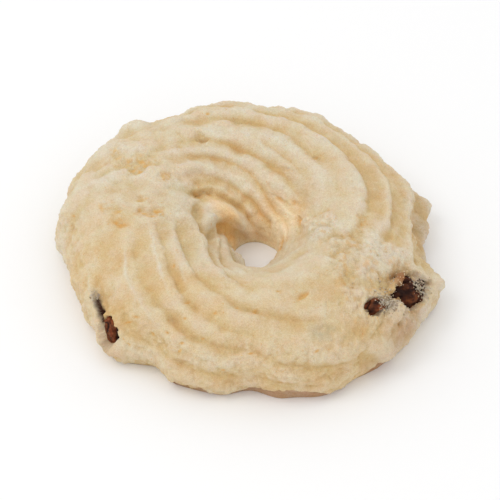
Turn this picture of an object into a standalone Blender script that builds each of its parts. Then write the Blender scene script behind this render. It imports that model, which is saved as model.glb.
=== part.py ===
"""A piped ring butter cookie with three pieces of dried fruit baked into its side.

The ring is a primitive torus whose points are moved onto a measured rope section: a flat base, a
steep outer flank, a rounded crest and a slope into the middle hole. Furrows between the piped
ridges, pits and lumps are then pushed into that surface. The fruit lies in pockets cut from the
dough. Angles run anticlockwise seen from above, 0 at +X (the torn side) and 270 at -Y (the front).
"""

import math

import bmesh
import bpy
import numpy as np

MM = 0.001

# Driving dimensions
RING_RADIUS = 29.7 * MM
RING_CENTRE = (0.35 * MM, -0.195 * MM)
ROPE_HEIGHT = 12.6 * MM
HOLE_OFFSET = (0.7 * MM, 0.4 * MM)
HOLE_HALF_SIZE = (3.6 * MM, 4.2 * MM)
BULGE_HEIGHT = 3.4 * MM
FOOT_INSET = 1.2 * MM
THROAT_HEIGHT = 1.6 * MM
CREST_SHARE = 0.5
FRUIT_GAP = 0.3 * MM

# The ring isn't round: (lobes round the ring, millimetres, angle of a lobe)
OUTLINE_LOBES = ((1, 0.5, 198), (2, 1.25, 128), (5, 0.25, 15))
# Where the hole is wider or narrower: (angle, half width in degrees, millimetres)
HOLE_SWELLS = ((205, 34, -0.7), (320, 35, -0.4), (28, 32, 0.4), (160, 16, 0.2))
# Spurs and bites of the foot and flank: (angle, half width in degrees, millimetres out)
FOOT_SWELLS = (
    (3, 19, -3.2),
    (351, 6, -1.6),
    (336, 9, 0.7),
    (324, 12, 0.5),
    (303, 9, -0.4),
    (291, 9, 0.6),
    (270, 10, -1.5),
    (238, 9, -1.5),
    (222, 7, 1.2),
    (212, 10, 0.3),
    (200, 12, -0.3),
    (190, 9, -0.8),
    (182, 6, -0.7),
    (175, 9, 0.8),
    (156, 9, 0.7),
    (141, 5, -1.0),
    (134, 5, 0.8),
    (128, 5, -1.3),
    (115, 5, -1.8),
    (85, 10, -1.4),
    (66, 12, 0.8),
)
# Shelves at the foot, under the ridge above: (angle, half width in degrees, millimetres out,
# millimetres from the foot to the edge, millimetres over which it fades)
SHELVES = (
    (10, 15, 2.4, 5.4, 2.0),
    (20, 6, 0.9, 5.4, 2.0),
    (357, 9, 0.9, 5.0, 2.0),
    (343, 10, 1.3, 6.5, 6.0),
    (227, 5, 0.7, 4.0, 2.4),
)
SWELL_REACH = 20 * MM
# Where the rope is thicker or flatter: (angle, half width in degrees, millimetres up)
HEIGHT_SWELLS = ((146, 60, 0.7), (292, 80, -0.6), (335, 30, -0.5))

# Furrows between the ridges: (half width, ((angle, millimetres from the outer foot along the
# section, depth), ...)), all sizes in millimetres
FURROWS = (
    (1.0, ((150, 3.0, 0), (128, 5.0, 0.9), (60, 8.2, 0.9), (34, 9.2, 0.6), (24, 9.6, 0))),
    (1.0, ((166, 2.6, 0), (140, 3.0, 0.7), (84, 4.6, 0.8), (44, 5.6, 0.6), (24, 6.0, 0))),
    (1.1, ((128, 8.6, 0), (112, 9.6, 0.5), (60, 12.0, 0.7), (30, 13.2, 0.8), (12, 13.9, 1.3),
           (-6, 15.0, 1.4), (-18, 16.0, 0.9), (-28, 17.4, 0))),
    (1.2, ((130, 12.0, 0), (112, 13.4, 0.7), (70, 15.6, 1.1), (36, 17.2, 1.4), (23, 18.0, 1.5),
           (6, 19.3, 1.4), (-8, 20.0, 0.9), (-22, 21.4, 0))),
    (1.2, ((132, 16.4, 0), (112, 17.6, 0.9), (76, 20.0, 1.3), (52, 21.6, 1.1), (36, 22.5, 0.6),
           (20, 23.6, 0))),
    (0.9, ((96, 22.6, 0), (80, 24.0, 0.6), (60, 25.0, 0.6), (44, 25.8, 0.4), (30, 26.6, 0))),
    (1.1, ((136, 20.6, 0), (120, 22.4, 1.3), (99, 25.7, 1.2), (83, 27.0, 1.0), (62, 27.7, 0.9),
           (40, 28.8, 0.7), (12, 30.4, 0))),
    (1.1, ((146, 23.4, 0), (132, 25.2, 1.4), (111, 28.1, 1.1), (91, 30.5, 0.9), (80, 31.9, 0.8),
           (53, 33.7, 0.6), (20, 34.7, 0.5), (-10, 35.2, 0.4), (-30, 35.6, 0))),
    (0.9, ((84, 29.9, 0), (70, 30.8, 0.5), (45, 31.4, 0.5), (23, 32.2, 0.5), (2, 33.2, 0.3),
           (-14, 34.0, 0))),
    (1.1, ((158, 26.0, 0), (146, 27.8, 1.4), (129, 30.7, 1.2), (105, 33.9, 0.9), (80, 35.9, 0.8),
           (60, 36.6, 0.5), (50, 37.0, 0))),
    (1.1, ((164, 28.4, 0), (152, 30.6, 1.2), (138, 33.0, 1.3), (127, 34.8, 1.3), (117, 36.1, 1.2),
           (105, 37.0, 1.0), (96, 38.3, 0.7), (84, 39.2, 0))),
    (1.2, ((296, 3.4, 0), (280, 4.4, 0.7), (252, 5.6, 0.8), (220, 7.4, 0.8), (206, 10.6, 0.6),
           (190, 13.8, 0))),
    (1.3, ((312, 4.9, 0), (292, 6.6, 1.1), (274, 8.8, 1.1), (250, 10.6, 1.1), (229, 14.2, 0.9),
           (216, 15.9, 0.9), (202, 18.4, 0.6), (190, 20.0, 0))),
    (1.2, ((276, 11.0, 0), (262, 13.2, 0.7), (243, 15.9, 1.0), (234, 18.4, 1.1), (217, 21.3, 1.2),
           (202, 22.1, 1.0), (190, 22.6, 0))),
    (1.2, ((304, 13.0, 0), (290, 14.6, 1.0), (277, 16.0, 1.1), (263, 17.6, 1.1), (257, 18.8, 1.1),
           (248, 20.0, 1.2), (231, 22.6, 1.3), (214, 24.9, 1.4), (201, 25.6, 1.3), (191, 26.0, 0))),
    (1.1, ((278, 19.0, 0), (264, 21.9, 0.8), (255, 24.0, 0.9), (246, 26.2, 1.1), (228, 29.2, 1.2),
           (213, 30.7, 1.3), (198, 30.2, 1.3), (188, 30.0, 0))),
    (1.0, ((268, 22.2, 0), (252, 27.2, 0.7), (228, 32.4, 1.0), (208, 33.8, 1.3), (192, 34.6, 1.2),
           (178, 35.2, 0))),
    (0.9, ((250, 33.0, 0), (236, 35.6, 0.6), (222, 36.8, 0.8), (206, 37.6, 0.6), (196, 38.0, 0))),
    (1.1, ((32, 8.4, 0), (18, 8.2, 1.0), (4, 8.6, 1.2), (-8, 9.4, 1.0), (-16, 10.8, 0.6),
           (-22, 11.6, 0))),
)
# A furrow is a narrow crease in a wider valley: (share of the depth, share of the width, sharpness)
FURROW_FORMS = ((0.3, 0.42, 1.4), (0.7, 1.6, 1.7))
# How much steeper the wall is that faces right, seen from the front
FURROW_LEAN = 0.5
FURROW_DEPTH = 0.84
# How much one side of a furrow stands higher than the other, as a share of its depth
FURROW_STEP = 0.42
FURROW_STEP_WIDTH = 1.7
RIDGE_WIDTH = 4
RIDGE_LIFT = 0.2 * MM

# Pits and lumps: (angle, millimetres from the outer foot, half length and half width in
# millimetres, turn in degrees from the way round the ring, millimetres out)
PITS_AND_LUMPS = (
    (168, 12.0, 3.5, 3.5, 0, 0.6),
    (132, 11.5, 1.8, 2.6, 0, 0.9),
    (121, 10.5, 2.6, 3.0, 0, -0.8),
    (140, 28.0, 3.0, 2.0, 0, 0.6),
    (330, 17.5, 3.5, 2.2, 0, 0.8),
    (329, 11.2, 4.6, 2.4, -20, -1.3),
    (320, 9.2, 1.6, 1.4, 41, 1.2),
    (347, 15.9, 1.8, 1.0, -23, -0.8),
    (345, 26.0, 3.0, 2.4, 0, 0.6),
    (300, 24.0, 4.0, 3.0, 0, 0.5),
    (311, 4.9, 2.7, 1.6, -40, 0.8),
    (342.5, 5.0, 0.9, 1.1, 0, 0.9),
    (220, 6.8, 3.4, 1.2, -34, -0.9),
    (226, 3.6, 2.4, 1.4, 0, 0.7),
    (135, 36.9, 3.8, 1.7, -52, 1.7),
    (171, 36.4, 2.8, 1.1, -52, -1.2),
    (155, 39.9, 2.2, 1.0, -47, -0.8),
    (188, 31.8, 2.4, 1.1, -37, 1.1),
    (177, 30.6, 2.4, 1.1, -33, -0.8),
    (199, 31.4, 1.1, 1.9, 20, -0.6),
    (213, 34.3, 3.0, 1.2, -35, 1.2),
    (230, 37.4, 1.3, 1.1, 0, 1.5),
    (17, 4.0, 1.4, 1.5, 0, 0.6),
    (11.5, 4.0, 0.8, 1.5, 0, -0.4),
    (5.5, 3.6, 1.2, 1.5, 0, 0.5),
    (154, 20.1, 2.4, 2.0, -37, -0.6),
    (158, 25.1, 1.5, 1.1, -41, -0.5),
    (181, 16.6, 1.9, 1.1, 73, -0.4),
    (186, 22.1, 2.0, 1.1, -81, -0.6),
    (150, 15.1, 1.9, 1.1, 57, -0.4),
    (118, 22.1, 1.0, 1.4, 0, -0.7),
    (148, 31.6, 2.0, 0.9, -36, -0.9),
    (349, 20.4, 1.7, 0.9, 0, -0.5),
    (339, 21.0, 1.6, 1.0, 0, -0.5),
    (328.5, 11.7, 2.1, 1.1, -36, -1.1),
)
# How flat the top of a lump is: 2 is a soft bell
LUMP_SHARPNESS = 2.3

# Fruit: (name, angle, millimetres along the section, millimetres out of the dough,
# half sizes in millimetres along the ring, up the section and out, turn in degrees)
FRUIT = (
    ("raisin_right", 331.0, 8.6, -1.9, (3.9, 2.9, 2.3), -29),
    ("raisin_small", 315.0, 11.8, -0.9, (1.8, 1.3, 1.2), -11),
    ("raisin_left", 223.0, 5.2, -0.8, (1.9, 1.5, 1.4), -38),
)

# The mesh lines of the section drift with the ridges: (angle, millimetres towards the hole)
MESH_DRIFT = (
    (-20, 3.4),
    (130, -2.6),
    (165, -2.6),
    (200, 4.4),
    (290, -4.6),
    (340, 3.4),
    (490, -2.6),
)

# Mesh sizes
RING_STEPS = 90
# Where the mesh lines cross the ring: one runs over the tip at 342.5 degrees, and they lie closer
# beside the hole, from 130 to 210 degrees: (number of the line, angle)
MESH_LINES = ((0, 342.5), (33, 490), (60, 570), (90, 702.5))
TOP_STEPS = 58
BASE_STEPS = 6
FRUIT_RINGS = 12
FRUIT_SIDES = 16

COLOURS = {
    "dough": (0.80, 0.64, 0.40, 1.0),
    "raisin": (0.085, 0.022, 0.010, 1.0),
}


def window(angle, centre, half_width):
    """1 at centre, falling smoothly to 0 at half_width degrees to either side."""
    away = abs((angle - centre + 180) % 360 - 180)
    return 0.5 + 0.5 * math.cos(math.pi * away / half_width) if away < half_width else 0.0


def smooth(share):
    """Eases from 0 at a share of 0 to 1 at a share of 1."""
    share = min(max(share, 0.0), 1.0)
    return share * share * (3 - 2 * share)


def outer_radius(angle):
    lobes = sum(
        size * math.cos(math.radians(count * (angle - at))) for count, size, at in OUTLINE_LOBES
    )
    return RING_RADIUS + lobes * MM


def foot_swell(angle, along):
    """How far spurs, bites and shelves move the flank outwards, this far up from the outer foot."""
    swells = sum(size * window(angle, at, wide) for at, wide, size in FOOT_SWELLS)
    fall = 0.5 + 0.5 * math.cos(math.pi * min(along / SWELL_REACH, 1.0))
    shelves = sum(
        size * window(angle, at, wide) * smooth((edge * MM - along) / (fades * MM) + 0.5)
        for at, wide, size, edge, fades in SHELVES
    )
    return (swells * fall + shelves) * MM


def hole_radius(angle):
    turn = math.radians(angle)
    half_x, half_y = HOLE_HALF_SIZE
    swells = sum(size * window(angle, at, wide) for at, wide, size in HOLE_SWELLS)
    return 1 / math.hypot(math.cos(turn) / half_x, math.sin(turn) / half_y) + swells * MM


def rope_height(angle):
    swells = sum(size * window(angle, at, wide) for at, wide, size in HEIGHT_SWELLS)
    return ROPE_HEIGHT + swells * MM


def section(angle):
    """The smooth section at this angle, from the outer foot over the crest to the hole's foot.

    Gives each point's distance inwards from the outer foot, its height and its distance along.
    """
    width = outer_radius(angle) - hole_radius(angle)
    height = rope_height(angle)
    outer = width * CREST_SHARE
    inner = width - outer
    outer_power = 2 / 2.25
    fullness = 1.70 + 0.38 * math.sin(math.radians(angle)) + 0.35 * window(angle, 196, 50)
    inner_power = 2 / fullness
    foot = np.linspace(0, 1, 12)[:-1]
    quarter = np.linspace(0, math.pi / 2, 54)[:-1]
    rise = np.clip(np.sin(quarter), 0, 1)
    fall = np.clip(np.cos(quarter), 0, 1)
    throat = np.linspace(1, 0, 5)
    inwards = np.concatenate(
        [
            FOOT_INSET * (1 - np.sin(foot * math.pi / 2)),
            outer * (1 - fall**outer_power),
            outer + inner * rise**inner_power,
            np.full(5, width),
        ]
    )
    up = np.concatenate(
        [
            BULGE_HEIGHT * foot,
            BULGE_HEIGHT + (height - BULGE_HEIGHT) * rise**outer_power,
            THROAT_HEIGHT + (height - THROAT_HEIGHT) * fall**inner_power,
            THROAT_HEIGHT * throat,
        ]
    )
    along = np.concatenate([[0], np.cumsum(np.hypot(np.diff(inwards), np.diff(up)))])
    return inwards, up, along


def furrow_at(angle, line):
    """Where a furrow runs at this angle, from the outer foot along the section, and its depth."""
    angles, reaches, depths = zip(*sorted(line))
    middle = (angles[0] + angles[-1]) / 2
    about = (angle - middle + 180) % 360 - 180 + middle
    depth = np.interp(about, angles, depths, left=0.0, right=0.0)
    return float(np.interp(about, angles, reaches)), float(depth)


def furrow_relief(angle, along):
    """How far the piped ridges and furrows move the surface outwards."""
    facing = math.cos(math.radians(angle))
    total = 0.0
    ridged = 0.0
    steps = 0.0
    for width, line in FURROWS:
        reach, depth = furrow_at(angle, line)
        away = (along / MM - reach) / width
        side = away * facing
        away = abs(away) * (1 + FURROW_LEAN * math.copysign(facing, side))
        form = sum(part * math.exp(-((away / wide) ** sharp)) for part, wide, sharp in FURROW_FORMS)
        total += (depth * FURROW_DEPTH * form) ** 4
        ridged = max(ridged, min(depth, 1.0) * math.exp(-((away / RIDGE_WIDTH) ** 2)))
        steps += depth * side * math.exp(-((away / FURROW_STEP_WIDTH) ** 2))
    return ridged * RIDGE_LIFT + (FURROW_STEP * steps - total**0.25) * MM


def pit_relief(angle, along, radius):
    """How far the pits and lumps move the surface outwards."""
    total = 0.0
    for at, distance, half_length, half_width, turn, size in PITS_AND_LUMPS:
        sideways = math.radians((angle - at + 180) % 360 - 180) * radius / MM
        across = along / MM - distance
        spin = math.radians(turn)
        first = (sideways * math.cos(spin) + across * math.sin(spin)) / half_length
        second = (across * math.cos(spin) - sideways * math.sin(spin)) / half_width
        total += size * MM * math.exp(-(math.hypot(first, second) ** LUMP_SHARPNESS))
    return total


def surface_point(angle, share):
    """A point of the ring's skin: share runs from 0 at the outer foot to 1 at the hole's foot."""
    inwards, up, along = section(angle)
    length = along[-1]
    here = share * length
    depth = float(np.interp(here, along, inwards))
    height = float(np.interp(here, along, up))
    step = 0.02 * length
    slope_in = np.interp(here + step, along, inwards) - np.interp(here - step, along, inwards)
    slope_up = np.interp(here + step, along, up) - np.interp(here - step, along, up)
    slope = math.hypot(slope_in, slope_up)
    radius = outer_radius(angle) - depth
    relief = furrow_relief(angle, here) + pit_relief(angle, here, radius)
    # The relief dies out at both feet, so that the base stays flat.
    relief *= min(1.0, 4 * min(here, length - here) / BULGE_HEIGHT)
    depth -= relief * slope_up / slope + foot_swell(angle, here)
    height += relief * slope_in / slope
    return place(angle, depth, max(height, 0.0))


def place(angle, inwards, height):
    """World position of a point this far in from the outer foot and this high."""
    radius = outer_radius(angle) - inwards
    width = outer_radius(angle) - hole_radius(angle)
    share = min(max(inwards / width, 0.0), 1.0)
    turn = math.radians(angle)
    return (
        RING_CENTRE[0] + radius * math.cos(turn) + HOLE_OFFSET[0] * share,
        RING_CENTRE[1] + radius * math.sin(turn) + HOLE_OFFSET[1] * share,
        height,
    )


def line_angle(number):
    """The angle of this mesh line."""
    numbers, angles = zip(*MESH_LINES)
    return float(np.interp(number, numbers, angles)) % 360


def ring_point(angle, step):
    """Point number step of the closed section: over the top first, then back along the base."""
    if step <= TOP_STEPS:
        share = step / TOP_STEPS
        angles, drifts = zip(*MESH_DRIFT)
        drift = np.interp(angle, angles, drifts) * MM / section(angle)[2][-1]
        return surface_point(angle, share + drift * math.sin(math.pi * share))
    back = (step - TOP_STEPS) / BASE_STEPS
    start = np.array(surface_point(angle, 1.0))
    end = np.array(surface_point(angle, 0.0))
    return tuple(start + (end - start) * back)


def clear_scene():
    for obj in list(bpy.data.objects):
        bpy.data.objects.remove(obj)


def new_collection(name):
    collection = bpy.data.collections.new(name)
    bpy.context.scene.collection.children.link(collection)
    return collection


def move_to(collection, obj):
    for old in list(obj.users_collection):
        old.objects.unlink(obj)
    collection.objects.link(obj)


def material(name, colour, roughness):
    made = bpy.data.materials.new(name)
    made.use_nodes = True
    shader = made.node_tree.nodes["Principled BSDF"]
    shader.inputs["Base Color"].default_value = colour
    shader.inputs["Roughness"].default_value = roughness
    shader.inputs["Metallic"].default_value = 0.0
    return made


def dough_ring(collection):
    bpy.ops.mesh.primitive_torus_add(
        major_segments=RING_STEPS,
        minor_segments=TOP_STEPS + BASE_STEPS,
        major_radius=RING_RADIUS / 2,
        minor_radius=ROPE_HEIGHT / 2,
    )
    ring = bpy.context.object
    ring.name = "dough_ring"
    for number, vertex in enumerate(ring.data.vertices):
        turn, step = divmod(number, TOP_STEPS + BASE_STEPS)
        vertex.co = ring_point(line_angle(turn), step)
    ring.data.shade_smooth()
    ring.data.set_sharp_from_angle(angle=math.radians(50))
    ring.data.materials.append(material("dough", COLOURS["dough"], 0.9))
    move_to(collection, ring)
    return ring


def fruit_axes(angle, along_mm, out_mm, turn):
    """Centre of a piece of fruit, and its axes along the ring, up the section and out of it."""
    inwards, up, along = section(angle)
    here = along_mm * MM
    base = np.array(
        place(angle, np.interp(here, along, inwards), np.interp(here, along, up))
    )
    above = np.array(
        place(angle, np.interp(here + MM, along, inwards), np.interp(here + MM, along, up))
    )
    rise = (above - base) / np.linalg.norm(above - base)
    tangent = np.array([-math.sin(math.radians(angle)), math.cos(math.radians(angle)), 0.0])
    outwards = np.cross(tangent, rise)
    outwards /= np.linalg.norm(outwards)
    spin = math.radians(turn)
    first = tangent * math.cos(spin) + rise * math.sin(spin)
    second = np.cross(outwards, first)
    return base + outwards * out_mm * MM, first, second, outwards


def wrinkle(theta, phi, seed):
    """A shrivelled fruit's folds, as a share of its size."""
    folds = 0.07 * math.sin(3 * theta + 2.1 * seed + 2 * math.cos(phi))
    creases = 0.05 * math.sin(5 * theta - 1.3 * seed) * math.sin(2 * phi + seed)
    return 1 + folds + creases


def fruit_piece(name, spec, seed, grow, collection):
    """A wrinkled lump; grow is how much larger than the fruit it is, for its pocket."""
    angle, along_mm, out_mm, half_sizes, turn = spec
    centre, first, second, outwards = fruit_axes(angle, along_mm, out_mm, turn)
    mesh = bpy.data.meshes.new(name)
    build = bmesh.new()
    bmesh.ops.create_uvsphere(build, u_segments=FRUIT_SIDES, v_segments=FRUIT_RINGS, radius=1.0)
    for vertex in build.verts:
        x, y, z = vertex.co
        theta = math.atan2(y, x)
        phi = math.acos(max(-1.0, min(1.0, z)))
        fold = wrinkle(theta, phi, seed) if math.hypot(x, y) > 1e-4 else 1.0
        sizes = [half * MM * fold + grow for half in half_sizes]
        vertex.co = centre + first * x * sizes[0] + second * y * sizes[1] + outwards * z * sizes[2]
    build.to_mesh(mesh)
    build.free()
    mesh.shade_smooth()
    piece = bpy.data.objects.new(name, mesh)
    collection.objects.link(piece)
    return piece


def main():
    clear_scene()
    cookie = new_collection("butter_cookie")
    cutters = new_collection("cutters")
    ring = dough_ring(cookie)
    fruit_skin = material("raisin", COLOURS["raisin"], 0.35)
    for seed, (name, *spec) in enumerate(FRUIT):
        piece = fruit_piece(name, spec, seed, 0.0, cookie)
        piece.data.materials.append(fruit_skin)
        pocket = fruit_piece(name + "_pocket", spec, seed, FRUIT_GAP, cutters)
        pocket.hide_render = True
        pocket.display_type = "WIRE"
        cut = ring.modifiers.new(name + "_pocket", "BOOLEAN")
        cut.operation = "DIFFERENCE"
        cut.object = pocket


main()
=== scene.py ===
"""The looks of a piped ring butter cookie: a finely crumbed dough skin, dried fruit and crumbs.

The dough skin repeats the named sizes of the solid ring and adds what is too fine for it. Places on
the ring are given as (angle, reach): the angle runs anticlockwise seen from above, 0 at +X and 270 at
the front, and the reach is in millimetres along the section, from the outer foot over the crest.
"""

import math

import bmesh
import bpy
import numpy as np
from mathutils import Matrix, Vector


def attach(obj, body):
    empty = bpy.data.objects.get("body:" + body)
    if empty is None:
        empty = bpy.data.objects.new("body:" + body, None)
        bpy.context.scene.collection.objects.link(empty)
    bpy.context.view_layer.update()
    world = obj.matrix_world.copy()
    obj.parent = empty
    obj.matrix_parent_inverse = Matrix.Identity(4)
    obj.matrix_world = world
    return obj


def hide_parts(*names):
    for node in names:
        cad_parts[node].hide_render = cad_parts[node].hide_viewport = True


MM = 0.001

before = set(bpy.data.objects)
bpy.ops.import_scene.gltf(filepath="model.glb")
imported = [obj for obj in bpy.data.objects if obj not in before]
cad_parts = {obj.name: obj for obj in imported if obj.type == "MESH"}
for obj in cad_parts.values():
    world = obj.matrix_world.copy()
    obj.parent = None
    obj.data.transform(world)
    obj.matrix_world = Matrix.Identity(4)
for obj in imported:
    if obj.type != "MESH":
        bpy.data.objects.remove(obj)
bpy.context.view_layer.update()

# -------- the ring's form, as in the solid
RING_RADIUS = 29.7
RING_CENTRE = (0.35, -0.195)
ROPE_HEIGHT = 12.6
HOLE_OFFSET = (0.7, 0.4)
HOLE_HALF_SIZE = (3.6, 4.2)
# Where the hole is wider or narrower: (angle, half width in degrees, millimetres)
HOLE_SWELLS = ((205, 34, -0.7), (320, 35, -0.4), (28, 32, 0.4), (160, 16, 0.2))
BULGE_HEIGHT = 3.4
FOOT_INSET = 1.2
THROAT_HEIGHT = 1.6
CREST_SHARE = 0.5
# How square the section is, where 2 is an oval: outside, inside, and how much more it is inside at
# the back, and at the left as (angle, half width in degrees, how much more)
OUTER_FULLNESS = 2.25
INNER_FULLNESS = 1.7
BACK_FULLNESS = 0.38
LEFT_FULLNESS = (196, 50, 0.35)
# Points along the section's foot, along each quarter and along the wall of the hole
FOOT_POINTS = 12
QUARTER_POINTS = 54
THROAT_POINTS = 5

# (lobes round the ring, millimetres, angle of a lobe)
OUTLINE_LOBES = ((1, 0.5, 198), (2, 1.25, 128), (5, 0.25, 15))
# Where the whole flank swells or sinks: (angle, half width in degrees, millimetres out)
FOOT_SWELLS = (
    (3, 19, -3.2),
    (351, 6, -1.6),
    (336, 9, 0.7),
    (324, 12, 0.5),
    (303, 9, -0.4),
    (291, 9, 0.6),
    (270, 10, -1.5),
    (238, 9, -1.5),
    (222, 7, 1.2),
    (212, 10, 0.3),
    (200, 12, -0.3),
    (190, 9, -0.8),
    (182, 6, -0.7),
    (175, 9, 0.8),
    (156, 9, 0.7),
    (141, 5, -1),
    (134, 5, 0.8),
    (128, 5, -1.3),
    (115, 5, -1.8),
    (85, 10, -1.4),
    (66, 12, 0.8),
)
# Shelves at the foot, under the ridge above: (angle, half width, millimetres out, reach of the
# edge, millimetres over which it fades)
SHELVES = (
    (10, 15, 2.4, 5.4, 2),
    (20, 6, 0.9, 5.4, 2),
    (357, 9, 0.9, 5, 2),
    (343, 10, 1.3, 6.5, 6),
    (227, 5, 0.7, 4, 2.4),
)
SWELL_REACH = 20
HEIGHT_SWELLS = ((146, 60, 0.7), (292, 80, -0.6), (335, 30, -0.5))

# Furrows between the piped ridges: (half width, ((angle, reach, depth), ...))
FURROWS = (
    (1, ((150, 3, 0), (128, 5, 0.9), (60, 8.2, 0.9), (34, 9.2, 0.6), (24, 9.6, 0))),
    (1, ((166, 2.6, 0), (140, 3, 0.7), (84, 4.6, 0.8), (44, 5.6, 0.6), (24, 6, 0))),
    (1.1, ((128, 8.6, 0), (112, 9.6, 0.5), (60, 12, 0.7), (30, 13.2, 0.8), (12, 13.9, 1.3),
           (-6, 15, 1.4), (-18, 16, 0.9), (-28, 17.4, 0))),
    (1.2, ((130, 12, 0), (112, 13.4, 0.7), (70, 15.6, 1.1), (36, 17.2, 1.4), (23, 18, 1.5),
           (6, 19.3, 1.4), (-8, 20, 0.9), (-22, 21.4, 0))),
    (1.2, ((132, 16.4, 0), (112, 17.6, 0.9), (76, 20, 1.3), (52, 21.6, 1.1), (36, 22.5, 0.6),
           (20, 23.6, 0))),
    (0.9, ((96, 22.6, 0), (80, 24, 0.6), (60, 25, 0.6), (44, 25.8, 0.4), (30, 26.6, 0))),
    (1.1, ((136, 20.6, 0), (120, 22.4, 1.3), (99, 25.7, 1.2), (83, 27, 1), (62, 27.7, 0.9),
           (40, 28.8, 0.7), (12, 30.4, 0))),
    (1.1, ((146, 23.4, 0), (132, 25.2, 1.4), (111, 28.1, 1.1), (91, 30.5, 0.9), (80, 31.9, 0.8),
           (53, 33.7, 0.6), (20, 34.7, 0.5), (-10, 35.2, 0.4), (-30, 35.6, 0))),
    (0.9, ((84, 29.9, 0), (70, 30.8, 0.5), (45, 31.4, 0.5), (23, 32.2, 0.5), (2, 33.2, 0.3),
           (-14, 34, 0))),
    (1.1, ((158, 26, 0), (146, 27.8, 1.4), (129, 30.7, 1.2), (105, 33.9, 0.9), (80, 35.9, 0.8),
           (60, 36.6, 0.5), (50, 37, 0))),
    (1.1, ((164, 28.4, 0), (152, 30.6, 1.2), (138, 33, 1.3), (127, 34.8, 1.3), (117, 36.1, 1.2),
           (105, 37, 1), (96, 38.3, 0.7), (84, 39.2, 0))),
    (1.2, ((296, 3.4, 0), (280, 4.4, 0.7), (252, 5.6, 0.8), (220, 7.4, 0.8), (206, 10.6, 0.6),
           (190, 13.8, 0))),
    (1.3, ((312, 4.9, 0), (292, 6.6, 1.1), (274, 8.8, 1.1), (250, 10.6, 1.1), (229, 14.2, 0.9),
           (216, 15.9, 0.9), (202, 18.4, 0.6), (190, 20, 0))),
    (1.2, ((276, 11, 0), (262, 13.2, 0.7), (243, 15.9, 1), (234, 18.4, 1.1), (217, 21.3, 1.2),
           (202, 22.1, 1), (190, 22.6, 0))),
    (1.2, ((304, 13, 0), (290, 14.6, 1), (277, 16, 1.1), (263, 17.6, 1.1), (257, 18.8, 1.1),
           (248, 20, 1.2), (231, 22.6, 1.3), (214, 24.9, 1.4), (201, 25.6, 1.3), (191, 26, 0))),
    (1.1, ((278, 19, 0), (264, 21.9, 0.8), (255, 24, 0.9), (246, 26.2, 1.1), (228, 29.2, 1.2),
           (213, 30.7, 1.3), (198, 30.2, 1.3), (188, 30, 0))),
    (1, ((268, 22.2, 0), (252, 27.2, 0.7), (228, 32.4, 1), (208, 33.8, 1.3), (192, 34.6, 1.2),
           (178, 35.2, 0))),
    (0.9, ((250, 33, 0), (236, 35.6, 0.6), (222, 36.8, 0.8), (206, 37.6, 0.6), (196, 38, 0))),
    (1.1, ((32, 8.4, 0), (18, 8.2, 1), (4, 8.6, 1.2), (-8, 9.4, 1), (-16, 10.8, 0.6),
           (-22, 11.6, 0))),
)
# A furrow is a narrow crease in a wider valley: (share of the depth, share of the width, sharpness)
FURROW_FORMS = ((0.3, 0.42, 1.4), (0.7, 1.6, 1.7))
FURROW_LEAN = 0.5
FURROW_DEPTH = 0.84
# How much higher one side of a furrow is, as a share of its depth, and how many widths this reaches
FURROW_STEP = 0.42
STEP_SPREAD = 1.7
# The higher this is, the more the deeper one wins where furrows meet
FURROW_BLEND = 4
# Half width of the orange line at the bottom of a furrow, as a share of the furrow's width
CREASE_WIDTH = 0.3
# Pale lip beside a furrow at the left, partly the dough's paler crest and partly a painted highlight
# along its lit edge: (shares of its width from its middle, half width)
PALE_LIP = (1.1, 0.17)
PALE_LIP_LIFT = 0.16
# How far the ridges beside a furrow rise, and how many of its widths this reaches
RIDGE_LIFT = 0.2
RIDGE_SPREAD = 4
# Layers of noise: (noise, millimetres across a lump, seed, size), here the millimetres by which a
# furrow wanders and the share by which its depth changes, with the least that is left of it
WARP = (("waves", 3.4, 11, 0.42), ("waves", 1.3, 12, 0.22), ("waves", 0.6, 13, 0.12))
DEPTH_CHANGE = (("waves", 5, 81, 0.4), ("waves", 1.7, 82, 0.32))
LEAST_DEPTH = 0.15

# Lumps and hollows: (angle, reach, half length, half width, turn in degrees, millimetres out)
PITS_AND_LUMPS = (
    (168, 12, 3.5, 3.5, 0, 0.6),
    (132, 11.5, 1.8, 2.6, 0, 0.9),
    (121, 10.5, 2.6, 3, 0, -0.8),
    (140, 28, 3, 2, 0, 0.6),
    (330, 17.5, 3.5, 2.2, 0, 0.8),
    (329, 11.2, 4.6, 2.4, -20, -1.3),
    (320, 9.2, 1.4, 1, 41, 1.7),
    (347, 15.9, 1.8, 1, -23, -0.8),
    (345, 26, 3, 2.4, 0, 0.6),
    (300, 24, 4, 3, 0, 0.5),
    (311, 4.9, 2.7, 1.6, -40, 0.8),
    (342.5, 5, 0.9, 1.1, 0, 0.9),
    (220, 6.8, 3.4, 1.2, -34, -0.9),
    (226, 3.6, 2.4, 1.4, 0, 0.7),
    (132.5, 37.2, 4.3, 1.6, -52, 1.9),
    (171, 36.4, 2.8, 0.8, -52, -1.5),
    (155, 39.9, 2.2, 1, -47, -0.8),
    (188, 31.8, 2.4, 0.8, -37, 1.4),
    (177, 30.6, 2.4, 0.8, -33, -1.1),
    (199, 31.4, 0.8, 1.9, 20, -0.8),
    (213, 34.3, 3, 1.2, -35, 1.2),
    (230, 37.4, 1.3, 1.1, 0, 1.5),
    (17, 4, 1.4, 1.5, 0, 0.6),
    (11.5, 4, 0.8, 1.5, 0, -0.4),
    (5.5, 3.6, 1.2, 1.5, 0, 0.5),
)
# How flat the top of a lump is: 2 is a soft bell
LUMP_SHARPNESS = 3

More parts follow.
